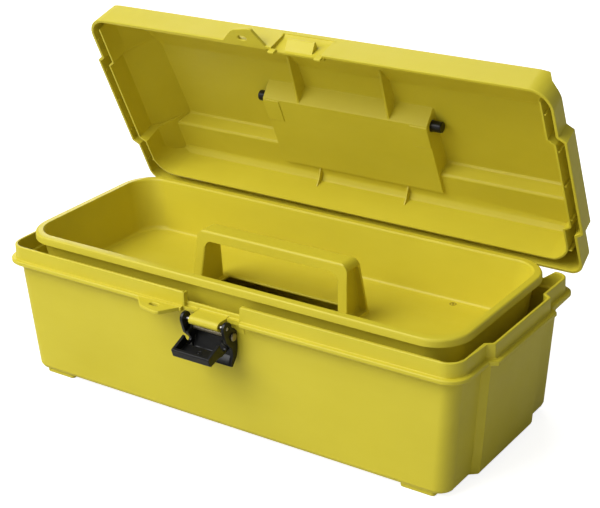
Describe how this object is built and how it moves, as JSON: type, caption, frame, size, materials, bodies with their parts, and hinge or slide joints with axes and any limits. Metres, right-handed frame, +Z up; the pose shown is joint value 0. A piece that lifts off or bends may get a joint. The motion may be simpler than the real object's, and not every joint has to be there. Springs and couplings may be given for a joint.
{
  "type": "toolbox with tray",
  "caption": "Moulded plastic toolbox with a lift-out tray, a hinged lid with a folding carry handle, and a draw latch at the front.",
  "frame": {"origin": "under the middle of the bounding box, on the plane the feet stand on, with the lid open as at rest", "axes": "+Z up, +X along the box, the latch on the -Y side and the lid hinges on the +Y side"},
  "size_m": [0.483, 0.2782, 0.3179],
  "materials": {
    "yellow_shell": "satin moulded polypropylene, yellow",
    "black_fittings": "satin moulded, black",
    "steel": "plain drawn wire",
    "black_steel": "blackened"
  },
  "bodies": {
    "box": {"box_body": "yellow_shell", "hinge_pin_left": "steel", "hinge_pin_right": "steel", "latch_pivot_pin": "steel"},
    "lid_shell": {"lid": "yellow_shell"},
    "handle": {"carry_handle": "black_fittings"},
    "lift_out_tray": {"tray": "yellow_shell"},
    "lever": {"latch_lever": "black_fittings", "latch_cross_pin": "black_steel"},
    "hook": {"latch_hook": "black_fittings"}
  },
  "joints": [
    {"name": "lid_hinge", "type": "hinge", "parent": "box", "child": "lid_shell", "pos_m": [0, 0.0993, 0.1045], "axis": [-1, 0, 0], "range_deg": [-67.25, 28]},
    {"name": "handle_pivot", "type": "hinge", "parent": "lid_shell", "child": "handle", "pos_m": [0, 0.1056, 0.2263], "axis": [1, 0, 0], "range_deg": [0, 95]},
    {"name": "tray_lift", "type": "slide", "parent": "box", "child": "lift_out_tray", "axis": [0, -0.342, 0.9397], "range_m": [0, 0.3]},
    {"name": "latch_swing", "type": "hinge", "parent": "box", "child": "lever", "pos_m": [0, -0.1158, 0.1082], "axis": [-1, 0, 0], "range_deg": [0, 130]},
    {"name": "hook_swing", "type": "hinge", "parent": "lever", "child": "hook", "pos_m": [0, -0.1098, 0.0988], "axis": [1, 0, 0], "range_deg": [-107, 6]}
  ]
}
